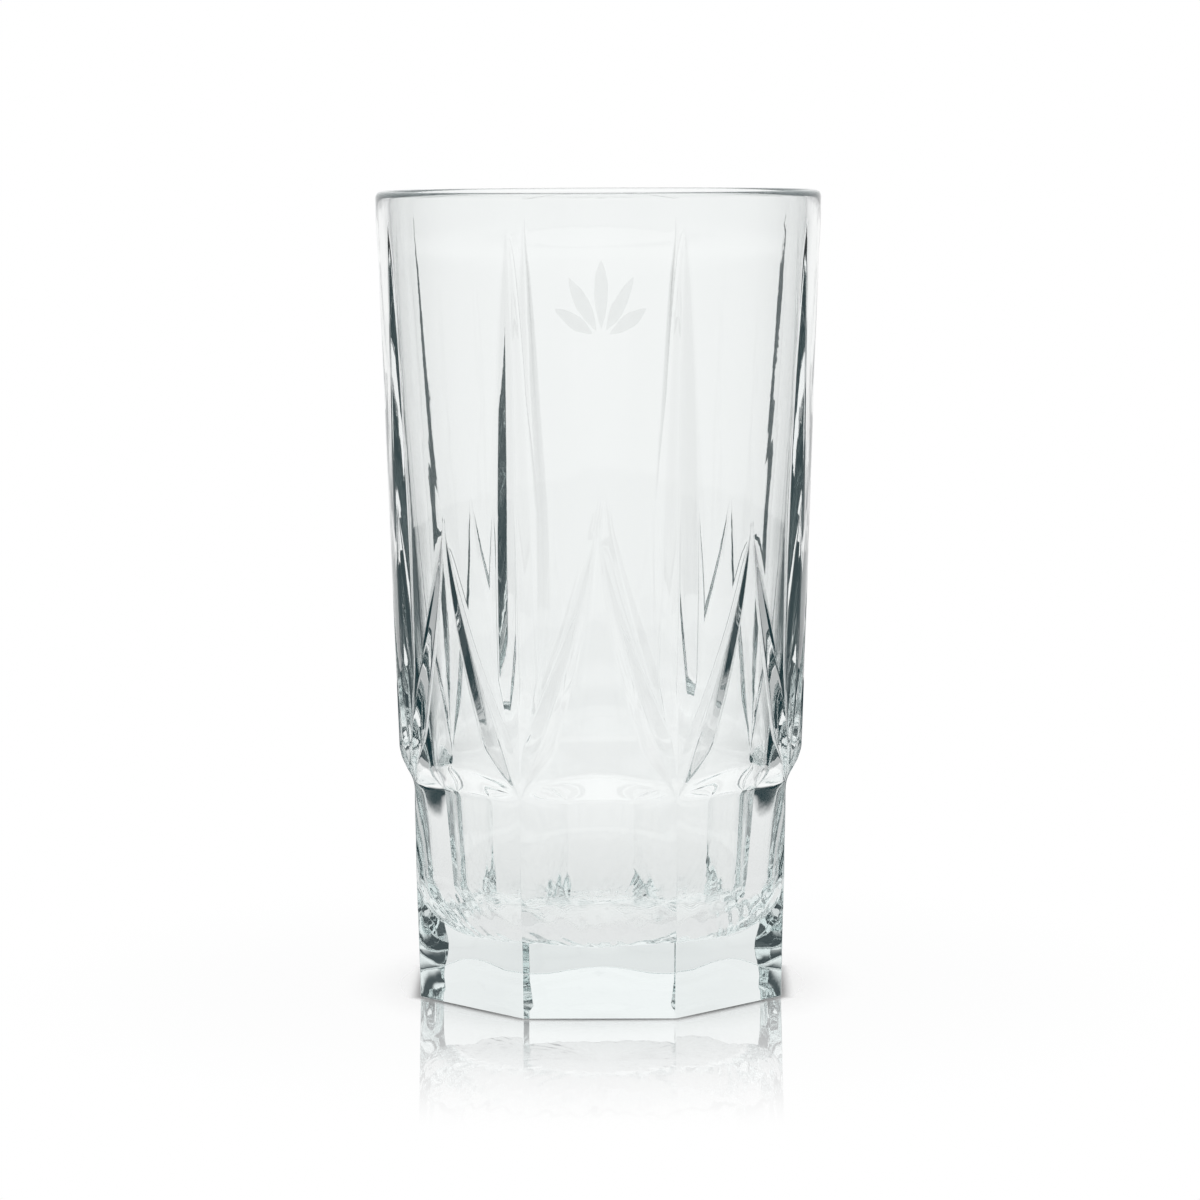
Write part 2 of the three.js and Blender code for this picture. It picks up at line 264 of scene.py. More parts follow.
def slant_half_width(s, z):
    """Half width of a slanting groove: it grows evenly over its fan and shrinks evenly to the peak."""
    rise = (z - s.foot_height) / s.slant_fan_height
    fall = (s.foot_height + s.slant_rise - z) / (s.slant_rise - s.slant_fan_height)
    return s.slant_half_width * np.clip(np.minimum(rise, fall), 0, 1)


def slant_valley(s, z):
    """Angle of a slanting groove's valley from its corner: from the corner to the middle of the face, part
    straight and part a quarter sine."""
    climbed = np.clip((z - s.foot_height) / s.slant_rise, 0, 1)
    return HALF_FACE * (s.slant_bow * np.sin(math.pi / 2 * climbed) + (1 - s.slant_bow) * climbed)


def slant_lean(s, z):
    """Cosine of a slanting groove's lean from upright, on the unrolled wall."""
    climbed = np.clip((z - s.foot_height) / s.slant_rise, 0, 1)
    bowed = s.slant_bow * math.pi / 2 * np.cos(math.pi / 2 * climbed) + 1 - s.slant_bow
    return 1 / np.hypot(1, HALF_FACE * s.waist_radius / s.slant_rise * bowed)


def groove_depth(s, angle, z):
    """Depth of the V grooves at an angle from the nearest corner: flank slope times how far inside the
    groove's edge a point lies, for the deeper of the upright and the slanting groove. A hyperbola eases
    the valleys, and a parabola the edges."""
    radius = body_radius(s, z)
    upright = (upright_half_width(s, z) - np.hypot(radius * angle, s.valley_ease)) * upright_slope(s, z)
    from_valley = np.hypot(radius * (angle - slant_valley(s, z)) * slant_lean(s, z), s.valley_ease)
    slant = (slant_half_width(s, z) - from_valley) * math.tan(s.slant_flank)
    ease = s.edge_ease * math.tan(s.slant_flank)
    depth = -smooth_min(-np.maximum(upright, slant), 0 * z, ease) - ease / 4
    return np.where(z > s.foot_height, np.maximum(depth, 0.0), 0.0)


def eight_sides(angle, apothem, fillet):
    """Radius of an eight-sided section at an angle from its nearest corner: a circle of the fillet's
    radius inside the corner, and beyond it the straight side, apothem over the cosine."""
    centre = (apothem - fillet) / math.cos(HALF_FACE)
    inside = np.maximum(fillet**2 - (centre * np.sin(angle))**2, 0.0)
    corner = centre * np.cos(angle) + np.sqrt(inside)
    side = apothem / np.cos(HALF_FACE - angle)
    tangent = np.arctan2(fillet * math.sin(HALF_FACE), centre + fillet * math.cos(HALF_FACE))
    return np.where(angle < tangent, corner, side)


def foot_apothem(s, z):
    """Half the foot's width across flats, from the underside to the fold line and on along that draft."""
    return (s.flats_bottom + (s.flats_top - s.flats_bottom) * z / s.foot_height) / 2


def outer_radius(s, angle, z):
    """Radius of the outside: the greater of the foot's sides and the shoulder's, then the lesser of that
    and the round body, both eased, less the grooves."""
    foot = eight_sides(angle, foot_apothem(s, z), s.corner_fillet)
    slope = s.flats_top / 2 + (z - s.foot_height) * math.tan(s.shoulder_angle)
    slope = np.maximum(slope, s.flats_top / 2 - s.corner_reach)
    shoulder = eight_sides(angle, slope, s.shoulder_fillet)
    corner = s.corner_ease * np.exp(-(angle * s.waist_radius / s.corner_reach)**2)
    faced = -smooth_min(-foot, -shoulder, s.fold_ease + corner)
    return smooth_min(body_radius(s, z), faced, s.arch_ease + corner) - groove_depth(s, angle, z)


def arch_rise(s, angle):
    """Height above the fold line at which the shoulder's slope leaves the round body."""
    across = np.cos(HALF_FACE - angle)
    taper = (s.rim_radius - s.waist_radius) / (s.height - s.foot_height)
    return (s.waist_radius * across - s.flats_top / 2) / (math.tan(s.shoulder_angle) - taper * across)


# Columns of the grid between a corner and the middle of its face. Whole numbers are lines that follow
# the grooves: the upright valley, its edge, the slanting groove's near edge, valley and far edge, and the
# middle of the face. The others stand close to those lines to keep the edges crisp.
STATIONS = np.array([0, 0.12, 0.5, 0.88, 1, 1.15, 1.5, 1.85, 2, 2.15, 2.5, 2.85, 3, 3.15, 3.5, 3.85, 4,
                     4.06, 4.22, 4.45, 4.72, 5])
LEAST_COLUMN = 0.12 * MM  # narrowest strip between two of those lines
FOOT_LINES = np.array([0.2, 0.6, 1.6, 5.0]) * MM  # where the same lines run below the grooves
PLAIN_LINES = (0.30, 0.55, 0.78)  # shares of the plain wall above the peaks
FOOT_SPREAD = 12 * MM  # height in which the columns change over to the lines of the foot
PLAIN_SPREAD = 20 * MM  # and to those of the plain wall

# Rows of the grid, counted from one line to the next with both of them
PUNT_ROWS = 8
RING_ROWS = 6
ROLL_ROWS = 8
FOOT_ROWS = 28
SHAFT_ROWS = 29
UPPER_ROWS = 33
BAND_ROWS = 6
LIP_ROWS = 15
WALL_ROWS = 72
TURN_ROWS = 25
FLOOR_ROWS = 9
WALL_CROWDING = 1.6  # rows of the wall inside stand closer towards the floor
CREASE_GAPS = np.array([2.2, 1.5, 1.0, 0.6, 0.3, 0.12, 0.0]) * MM  # rows below the fold line
ARCH_SHARES = np.array([0.12, 0.3, 0.5, 0.7, 0.88, 1.0])  # rows between the fold line and the arch
ARCH_GAPS = np.array([0.3, 0.7, 1.2, 1.8, 2.6, 3.6, 5.0, 7.0, 9.0, 11.0]) * MM  # rows above the arch
SETTLING_PASSES = 8


def column_angles(s, station, even, z):
    """Angle from the nearest corner of every grid column at every height. Between the fold line and the
    peaks the columns follow the grooves' edges and valleys. Below and above they spread out evenly."""
    radius = body_radius(s, z)
    peak = s.foot_height + s.slant_rise
    upright = upright_half_width(s, z) / radius
    valley = slant_valley(s, z)
    spread = slant_half_width(s, z) / (radius * slant_lean(s, z))
    near = valley - spread
    weight = slant_lean(s, z) * math.tan(s.slant_flank) / upright_slope(s, z)
    ridge = (upright + weight * near) / (1 + weight)
    meets = upright > near
    full = np.full_like(z, HALF_FACE)
    grooved = [0 * z, np.where(meets, ridge, upright), np.where(meets, ridge, near), valley,
               valley + spread, full]
    foot = [0 * z, *(line / radius for line in FOOT_LINES), full]
    plain = [0 * z, upright, *(upright + part * (HALF_FACE - upright) for part in PLAIN_LINES), full]
    low = np.clip((s.foot_height - z) / FOOT_SPREAD, 0, 1)
    high = np.clip((z - peak) / PLAIN_SPREAD, 0, 1)
    lines = [g * (1 - low - high) + f * low + p * high for g, f, p in zip(grooved, foot, plain)]
    strips = np.maximum(np.diff(np.stack(lines), axis=0), LEAST_COLUMN / radius)
    strips *= HALF_FACE / strips.sum(axis=0)
    reached = np.clip(station[None, :] - np.arange(len(strips))[:, None], 0, 1)
    angle = (strips * reached[:, None, :]).sum(axis=0)
    lip = s.height - s.rim_wall / 2
    top = s.height - s.upright_top_gap
    settle = np.clip((z - top) / (lip - top), 0, 1)
    return angle * (1 - settle) + even[None, :] * settle


def grid_columns():
    """The columns all the way round: from each corner to the middle of its face and back to the next
    corner. Gives each one's station, even angle, corner angle and hand."""
    steps = len(STATIONS) - 1
    there = np.arange(steps)
    back = np.arange(steps, 0, -1)
    index = np.tile(np.concatenate([there, back]), FACES)
    hand = np.tile(np.concatenate([np.ones(steps), -np.ones(steps)]), FACES)
    sector = np.repeat(np.arange(FACES), 2 * steps)
    corner = (2 * sector + 1 + np.where(hand < 0, 2, 0)) * HALF_FACE
    return STATIONS[index], HALF_FACE * index / steps, corner, hand


def outside_rows(s):
    """Heights of the outside's rows, and how far each follows the arched top of the shoulder."""
    fold = s.foot_height
    peak = fold + s.slant_rise
    top = s.height - s.upright_top_gap
    lip = s.height - s.rim_wall / 2
    foot = np.linspace(s.foot_fillet, fold - CREASE_GAPS[0], FOOT_ROWS)
    crease = fold - CREASE_GAPS[1:]
    arch = np.full(len(ARCH_SHARES), fold)
    above = fold + ARCH_GAPS
    shaft = np.linspace(above[-1], peak, SHAFT_ROWS)[1:]
    upper = np.linspace(peak, top, UPPER_ROWS)[1:]
    band = np.linspace(top, lip, BAND_ROWS)[1:]
    heights = np.concatenate([foot, crease, arch, above, shaft, upper, band])
    follow = np.concatenate([np.zeros(len(foot) + len(crease)), ARCH_SHARES, 1 - ARCH_GAPS / ARCH_GAPS[-1],
                             np.zeros(len(shaft) + len(upper) + len(band))])
    return heights, follow


def inside_profile(s):
    """Radius and height down the inside: the round lip, a parabola down the wall, a quarter circle into
    the floor and the floor."""
    lip = s.rim_wall / 2
    fillet = s.floor_fillet
    over = np.linspace(0, math.pi, LIP_ROWS)[1:]
    lip_radii = s.rim_radius - lip + lip * np.cos(over)
    lip_heights = s.height - lip + lip * np.sin(over)
    t = 1 - np.linspace(1, 0, WALL_ROWS)[1:]**WALL_CROWDING
    ends = (s.rim_radius - s.rim_wall, s.height - lip), (s.cavity_radius, s.floor_thickness + fillet)
    wall_radii = (1 - t)**2 * ends[0][0] + 2 * t * (1 - t) * s.bend_radius + t**2 * ends[1][0]
    wall_heights = (1 - t)**2 * ends[0][1] + 2 * t * (1 - t) * s.bend_height + t**2 * ends[1][1]
    turn_in = np.linspace(0, math.pi / 2, TURN_ROWS)[1:]
    turn_radii = s.cavity_radius - fillet + fillet * np.cos(turn_in)
    turn_heights = s.floor_thickness + fillet - fillet * np.sin(turn_in)
    floor_radii = np.linspace(s.cavity_radius - fillet, 0, FLOOR_ROWS)[1:-1]
    radii = np.concatenate([lip_radii, wall_radii, turn_radii, floor_radii])
    heights = np.concatenate([lip_heights, wall_heights, turn_heights,
                              np.full(len(floor_radii), s.floor_thickness)])
    return radii, heights


# Waves round the glass: how many there are, how far they sway from an even spacing, and how often
CHILL_BROAD = (23, 3, 3)
CHILL_CROSS = (9, 2, 4)
CHILL_FINE = (41, 2, 7)
FACE_ROUND = (11, 1.3, 3)
FACE_CROSS = (0, 5, 2)
# The same waves along the profile or up the side: the length in which the phase turns by one radian
BROAD_LENGTH = 1.1 * MM
CROSS_LENGTH = 1.7 * MM
FINE_LENGTH = 0.8 * MM
FACE_ROUND_LENGTH = 4.0 * MM
FACE_CROSS_LENGTH = 5.5 * MM
FINE_SHARE = 0.4  # of the chill marks
WAVE_RISE = 2 * MM  # the foot's waves begin over this height


def swaying(theta, waves):
    """Phase of waves round the glass that crowd and spread: their count times the angle, plus a sine."""
    count, sway, often = waves
    return count * theta + sway * np.sin(often * theta)


def chill_marks(s, theta, radii, heights):
    """Ripples round the cavity's floor, from -1 to 1: sines round the glass and along the profile that run
    into each other. They die away up the wall and towards the middle of the floor."""
    steps = np.hypot(np.diff(radii), np.diff(heights))
    along = np.concatenate([[0.0], np.cumsum(steps)])[:, None]
    broad = np.sin(swaying(theta, CHILL_BROAD) + along / BROAD_LENGTH)
    broad = broad * np.cos(swaying(theta, CHILL_CROSS) - along / CROSS_LENGTH)
    fine = np.sin(swaying(theta, CHILL_FINE) - along / FINE_LENGTH)
    low = np.clip((s.chill_top - heights) / (s.chill_top - s.chill_full), 0, 1)
    out = np.clip(radii / (s.cavity_radius - s.floor_fillet), 0, 1)
    strength = low * low * (3 - 2 * low) * out
    return ((1 - FINE_SHARE) * broad + FINE_SHARE * fine) * strength[:, None]


def foot_waves(s, theta, z):
    """How far the foot's sides lie under their flat form: slow waves, from sines round the glass and up the
    side that run into each other and die away at the underside and the fold line, and one sunken place in
    the middle of each side: a bell curve up the side, times the square of half of (1 + cosine of eight
    times the angle)."""
    wave = np.sin(swaying(theta, FACE_ROUND) + z / FACE_ROUND_LENGTH)
    wave = wave * np.cos(swaying(theta, FACE_CROSS) - z / FACE_CROSS_LENGTH)
    below_fold = np.clip((s.foot_height - z) / FOOT_SPREAD, 0, 1)
    above_floor = np.clip(z / WAVE_RISE, 0, 1)
    slow = s.face_waves * (1 + wave) / 2 * below_fold * above_floor
    across = ((1 + np.cos(FACES * theta)) / 2)**2
    bell = np.exp(-((z - s.sink_height) / s.sink_reach)**2)
    return slow + s.face_sink * across * bell


def tumbler_surface(s):
    """Grid of points over the whole glass, from the middle of the underside outwards, up the outside, over
    the lip and down to the middle of the floor inside. Each row holds radius, angle and height."""
    station, even, corner, hand = grid_columns()
    count = len(station)
    # Underside: a shallow paraboloid, then the flat bearing ring out to the eight-sided edge
    punt = np.linspace(0, 1, PUNT_ROWS)[1:, None]
    punt_rows = (s.punt_radius * punt + 0 * even, even + 0 * punt, s.punt_depth * (1 - punt**2) + 0 * even)
    low = np.zeros((1, count))
    low_angle = column_angles(s, station, even, low)
    edge = foot_apothem(s, 0.0) - s.foot_fillet
    out = np.linspace(0, 1, RING_ROWS)[1:-1, None]
    ring_angle = even * (1 - out) + low_angle * out
    ring_rows = (s.punt_radius * (1 - out) + eight_sides(ring_angle, edge, s.corner_fillet) * out,
                 ring_angle, 0 * ring_angle)
    # Quarter round from the bearing ring to the foot's sides
    roll = np.linspace(0, math.pi / 2, ROLL_ROWS)[:-1, None]
    roll_height = s.foot_fillet * (1 - np.cos(roll)) + 0 * even
    roll_angle = low_angle + 0 * roll
    rolled_in = s.foot_fillet * (1 - np.sin(roll))
    roll_rows = (eight_sides(roll_angle, foot_apothem(s, roll_height) - rolled_in, s.corner_fillet),
                 roll_angle, roll_height)
    # Outside: columns and rows depend on each other near the arches, so they are settled in a few passes
    heights, follow = outside_rows(s)
    z = heights[:, None] + 0 * even
    for _ in range(SETTLING_PASSES):
        angle = column_angles(s, station, even, z)
        z = heights[:, None] + follow[:, None] * arch_rise(s, angle)
    waved = outer_radius(s, angle, z) - foot_waves(s, corner + hand * angle, z)
    outside = (waved, angle, z)
    # Inside: the turned profile, moved along its normal by the chill marks
    radii, levels = inside_profile(s)
    ripple = s.chill_depth * chill_marks(s, corner + hand * even, radii, levels)
    down_r, down_z = np.gradient(radii), np.gradient(levels)
    slope = np.hypot(down_r, down_z)
    inside = (radii[:, None] + ripple * (down_z / slope)[:, None], even + 0 * radii[:, None],
              levels[:, None] - ripple * (down_r / slope)[:, None])
    stretches = zip(punt_rows, ring_rows, roll_rows, outside, inside)
    radius, angle, z = (np.concatenate(part) for part in stretches)
    theta = corner + hand * angle
    return np.stack([radius * np.sin(theta), -radius * np.cos(theta), z], axis=-1)


def closed_grid_mesh(name, grid, first_pole, last_pole):
    """Mesh of a grid that closes on itself across its columns and ends in a point before its first row and
    after its last. Faces point out if rows climb where columns turn anticlockwise."""
    rows, columns = grid.shape[:2]
    points = np.concatenate([grid.reshape(-1, 3), [first_pole, last_pole]])
    index = np.arange(rows * columns).reshape(rows, columns)
    right = np.roll(index, -1, axis=1)
    quads = np.stack([index[:-1], right[:-1], right[1:], index[1:]], axis=-1).reshape(-1, 4)
    first = np.full(columns, rows * columns)
    fans = np.concatenate([np.stack([first, right[0], index[0]], axis=-1),
                           np.stack([index[-1], right[-1], first + 1], axis=-1)])
    corners = np.concatenate([quads.ravel(), fans.ravel()]).astype(np.int32)
    starts = np.concatenate([np.arange(len(quads)) * 4, quads.size + np.arange(len(fans)) * 3])
    mesh = bpy.data.meshes.new(name)
    mesh.vertices.add(len(points))
    mesh.vertices.foreach_set("co", points.astype(np.float32).ravel())
    mesh.loops.add(len(corners))
    mesh.loops.foreach_set("vertex_index", corners)
    mesh.polygons.add(len(starts))
    mesh.polygons.foreach_set("loop_start", starts.astype(np.int32))
    mesh.update(calc_edges=True)
    if mesh.validate():
        raise RuntimeError(f"the grid of {name} does not close")
    mesh.shade_smooth()
    return mesh


LEAF_ROWS = 31
LEAF_COLUMNS = 32
LEAF_SQUARING = 0.35  # power that squares off a leaf's section; 1 leaves it an ellipse


def leaf_surface(s, p, tilt, length):
    """Grid of points over one printed leaf, a flat bead on the wall: its half width along its length is
    2 u (1 - u) times the leaf's width, and its section is a squared-off ellipse as thick as the print. The
    section turns anticlockwise as seen from the leaf's tip, from off the wall to across it."""
    u = np.linspace(0, 1, LEAF_ROWS)[1:-1, None]
    turn_round = np.linspace(2 * math.pi, 0, LEAF_COLUMNS + 1)[None, :-1]
    side = np.sign(np.cos(turn_round)) * np.abs(np.cos(turn_round))**LEAF_SQUARING
    lift = (1 + np.sign(np.sin(turn_round)) * np.abs(np.sin(turn_round))**LEAF_SQUARING) / 2
    across = 2 * u * (1 - u) * p.leaf_width * side
    along = p.root_gap + length * u + 0 * side
    return wrap_on_wall(s, p, tilt, across, along, lift + 0 * u)


def wrap_on_wall(s, p, tilt, across, along, lift):
    """Points on the back panel, from places across and along a leaf that leans by tilt from the fan's
    root: turned by the lean, then wrapped round the wall, and lifted off it by a share of the print."""
    sideways = along * math.sin(tilt) + across * math.cos(tilt)
    z = s.height - p.root_drop + along * math.cos(tilt) - across * math.sin(tilt)
    wall = body_radius(s, z)
    theta = math.pi + sideways / wall
    radius = wall + p.clearance + p.thickness * lift
    return np.stack([radius * np.sin(theta), -radius * np.cos(theta), z], axis=-1)


def add_node(tree, kind, inputs=None, **settings):
    """A shader node with its settings, and its inputs set to values or linked to other nodes' outputs."""
    node = tree.nodes.new(kind)
    for name, value in settings.items():
        setattr(node, name, value)
    for name, value in (inputs or {}).items():
        if isinstance(value, bpy.types.NodeSocket):
            tree.links.new(value, node.inputs[name])
        else:
            node.inputs[name].default_value = value
    return node


def arithmetic(tree, operation, first, second=0.0, clamp=False):
    """The result of one Math node."""
    return add_node(tree, "ShaderNodeMath", {0: first, 1: second}, operation=operation,
                    use_clamp=clamp).outputs[0]


def fade_out(tree, distance, near, far):
    """1 inside the near distance, falling smoothly to 0 at the far one."""
    return add_node(tree, "ShaderNodeMapRange",
                    {"Value": distance, "From Min": near, "From Max": far, "To Min": 1.0, "To Max": 0.0},
                    interpolation_type="SMOOTHSTEP").outputs["Result"]


def new_group(name, inputs, outputs):
    """An empty shader node group with named sockets, its input node and its output node."""
    group = bpy.data.node_groups.new(name, "ShaderNodeTree")
    for label, kind in inputs:
        group.interface.new_socket(label, in_out="INPUT", socket_type=kind)
    for label, kind in outputs:
        group.interface.new_socket(label, in_out="OUTPUT", socket_type=kind)
    return group, group.nodes.new("NodeGroupInput"), group.nodes.new("NodeGroupOutput")


RIPPLE_SHARE = 0.12  # height of the fine ripples as a share of the slow waves


def fire_polish_group():
    """Waviness and film of fire-polished glass: slow waves and fine ripples as a height, and a faint
    cloudy film as a mask."""
    name = "fire_polish"
    if name in bpy.data.node_groups:
        return bpy.data.node_groups[name]
    sockets = [("Vector", "NodeSocketVector"), ("Wave Scale", "NodeSocketFloat"),
               ("Ripple Scale", "NodeSocketFloat")]
    group, entry, out = new_group(name, sockets, [("Height", "NodeSocketFloat"), ("Film", "NodeSocketFloat")])
    place = entry.outputs["Vector"]
    waves = add_node(group, "ShaderNodeTexNoise",
                     {"Vector": place, "Scale": entry.outputs["Wave Scale"], "Detail": 1.0})
    ripples = add_node(group, "ShaderNodeTexNoise",
                       {"Vector": place, "Scale": entry.outputs["Ripple Scale"], "Detail": 2.0})
    film = add_node(group, "ShaderNodeTexNoise",
                    {"Vector": place, "Scale": entry.outputs["Wave Scale"], "Detail": 4.0,
                     "Distortion": 0.6})
    fine = arithmetic(group, "MULTIPLY", ripples.outputs["Fac"], RIPPLE_SHARE)
    group.links.new(arithmetic(group, "ADD", waves.outputs["Fac"], fine), out.inputs["Height"])
    group.links.new(film.outputs["Fac"], out.inputs["Film"])
    return group


def new_material(name):
    """An empty node material, its tree, its output node and its Object coordinates."""
    material = bpy.data.materials.new(name)
    material.use_nodes = True
    tree = material.node_tree
    tree.nodes.clear()
    output = tree.nodes.new("ShaderNodeOutputMaterial")
    place = tree.nodes.new("ShaderNodeTexCoord").outputs["Object"]
    return material, tree, output, place


def glass_material(f):
    """Clear pressed glass: smooth, faintly wavy, with a thin film and a grey-green cast where thick."""
    material, tree, output, place = new_material("pressed_glass")
    polish = add_node(tree, "ShaderNodeGroup", node_tree=fire_polish_group())
    tree.links.new(place, polish.inputs["Vector"])
    polish.inputs["Wave Scale"].default_value = f.glass_wave
    polish.inputs["Ripple Scale"].default_value = f.glass_ripple
    rough = add_node(tree, "ShaderNodeMapRange",
                     {"Value": polish.outputs["Film"], "From Min": f.film_from, "From Max": f.film_full,
                      "To Min": 0.0, "To Max": f.glass_film})
    bump = add_node(tree, "ShaderNodeBump",
                    {"Height": polish.outputs["Height"], "Strength": f.glass_bump,
                     "Distance": f.glass_bump_height})
    shader = add_node(tree, "ShaderNodeBsdfPrincipled",
                      {"Base Color": (*f.glass, 1.0), "Roughness": rough.outputs["Result"],
                       "IOR": f.glass_ior, "Transmission Weight": 1.0, "Normal": bump.outputs["Normal"]})
    melt = add_node(tree, "ShaderNodeVolumeAbsorption",
                    {"Color": (*f.melt, 1.0), "Density": f.melt_density})
    tree.links.new(shader.outputs["BSDF"], output.inputs["Surface"])
    tree.links.new(melt.outputs["Volume"], output.inputs["Volume"])
    return material


def enamel_material(f):
    """Fired-on white enamel: satin, a little thinner in places, letting light through."""
    material, tree, output, place = new_material("fired_enamel")
    polish = add_node(tree, "ShaderNodeGroup", node_tree=fire_polish_group())
    tree.links.new(place, polish.inputs["Vector"])
    polish.inputs["Wave Scale"].default_value = f.enamel_wave
    polish.inputs["Ripple Scale"].default_value = f.enamel_ripple
    tone = add_node(tree, "ShaderNodeMix", {"Factor": polish.outputs["Film"]}, data_type="RGBA")
    tone.inputs["A"].default_value = (*f.enamel, 1.0)
    tone.inputs["B"].default_value = (*f.enamel_thin, 1.0)
    rough = add_node(tree, "ShaderNodeMapRange",
                     {"Value": polish.outputs["Film"], "To Min": f.enamel_smooth, "To Max": f.enamel_rough})
    bump = add_node(tree, "ShaderNodeBump",
                    {"Height": polish.outputs["Height"], "Strength": f.enamel_bump,
                     "Distance": f.enamel_bump_height})
    shader = add_node(tree, "ShaderNodeBsdfPrincipled",
                      {"Base Color": tone.outputs["Result"], "Roughness": rough.outputs["Result"],
                       "Normal": bump.outputs["Normal"], "Alpha": f.enamel_cover})
    tree.links.new(shader.outputs["BSDF"], output.inputs["Surface"])
    return material


def through_glass(tree):
    """1 for a ray that the glass has bent or mirrored on its way from the camera, and 0 for any other."""
    path = tree.nodes.new("ShaderNodeLightPath")
    bent = arithmetic(tree, "MAXIMUM", path.outputs["Is Transmission Ray"], path.outputs["Is Glossy Ray"])
    scattered = arithmetic(tree, "GREATER_THAN", path.outputs["Diffuse Depth"], 0.5)
    return arithmetic(tree, "SUBTRACT", bent, scattered, clamp=True)


def mirrored_light(tree, t, light, counted):
    """The light that a ray brings home: it falls towards the dark as the counted mirrorings grow."""
    mix = add_node(tree, "ShaderNodeMix", {"Factor": fade_out(tree, counted, 0.0, t.mirror_limit)},
                   data_type="RGBA")
    mix.inputs["A"].default_value = (*t.dark, 1.0)
    tree.links.new(light, mix.inputs["B"])
    return mix.outputs["Result"]


def misses_backdrop(tree, t, around):
    """0 for a turn from +Y that meets the white backdrop, rising to 1 outside its edge."""
    turned = arithmetic(tree, "ABSOLUTE", around)
    return arithmetic(tree, "SUBTRACT", 1.0, fade_out(tree, turned, t.backdrop, t.backdrop_edge))


def build_world(t):
    """White from all round, as from eight wide panels of light with dimmer gaps between them: 1 less the gap
    shade times half of (1 - cosine of eight times the azimuth). Only the glass shows the gaps. A ray that
    the glass mirrors inside itself meets more and more of the dark room, except towards the backdrop and
    overhead. One mirroring less counts for it where it leaves upwards."""
    world = bpy.data.worlds.new("white_studio")
    world.use_nodes = True
    tree = world.node_tree
    tree.nodes.clear()
    direction = tree.nodes.new("ShaderNodeTexCoord").outputs["Generated"]
    way = add_node(tree, "ShaderNodeSeparateXYZ", {"Vector": direction}).outputs
    around = arithmetic(tree, "ARCTAN2", way["X"], way["Y"])
    overhead = fade_out(tree, way["Z"], math.sin(t.overhead_from), math.sin(t.overhead_full))
    missed = arithmetic(tree, "MULTIPLY", overhead, misses_backdrop(tree, t, around))
    wave = arithmetic(tree, "COSINE", arithmetic(tree, "MULTIPLY", around, float(FACES)))
    gap = arithmetic(tree, "MULTIPLY", arithmetic(tree, "SUBTRACT", 1.0, wave), t.gap_shade / 2)
    shaded = arithmetic(tree, "MULTIPLY", gap, through_glass(tree))
    light = arithmetic(tree, "SUBTRACT", 1.0, shaded)
    level = fade_out(tree, way["Z"], math.sin(t.rise_from), math.sin(t.rise_full))
    depth = tree.nodes.new("ShaderNodeLightPath").outputs["Glossy Depth"]
    counted = arithmetic(tree, "SUBTRACT", arithmetic(tree, "ADD", depth, level), 1.0)
    counted = arithmetic(tree, "MULTIPLY", counted, missed)
    background = add_node(tree, "ShaderNodeBackground",
                          {"Color": mirrored_light(tree, t, light, counted), "Strength": 1.0})
    output = tree.nodes.new("ShaderNodeOutputWorld")
    tree.links.new(background.outputs["Background"], output.inputs["Surface"])
    bpy.context.scene.world = world


def eight_sided(tree, place):
    """Distance from the axis on the floor, measured square to the nearest side of the foot: the greatest of
    |x|, |y| and their sum over the root of two."""
    spot = add_node(tree, "ShaderNodeSeparateXYZ", {"Vector": place}).outputs
    x = arithmetic(tree, "ABSOLUTE", spot["X"])
    y = arithmetic(tree, "ABSOLUTE", spot["Y"])
    slanted = arithmetic(tree, "DIVIDE", arithmetic(tree, "ADD", x, y), math.sqrt(2))
    return arithmetic(tree, "MAXIMUM", arithmetic(tree, "MAXIMUM", x, y), slanted)


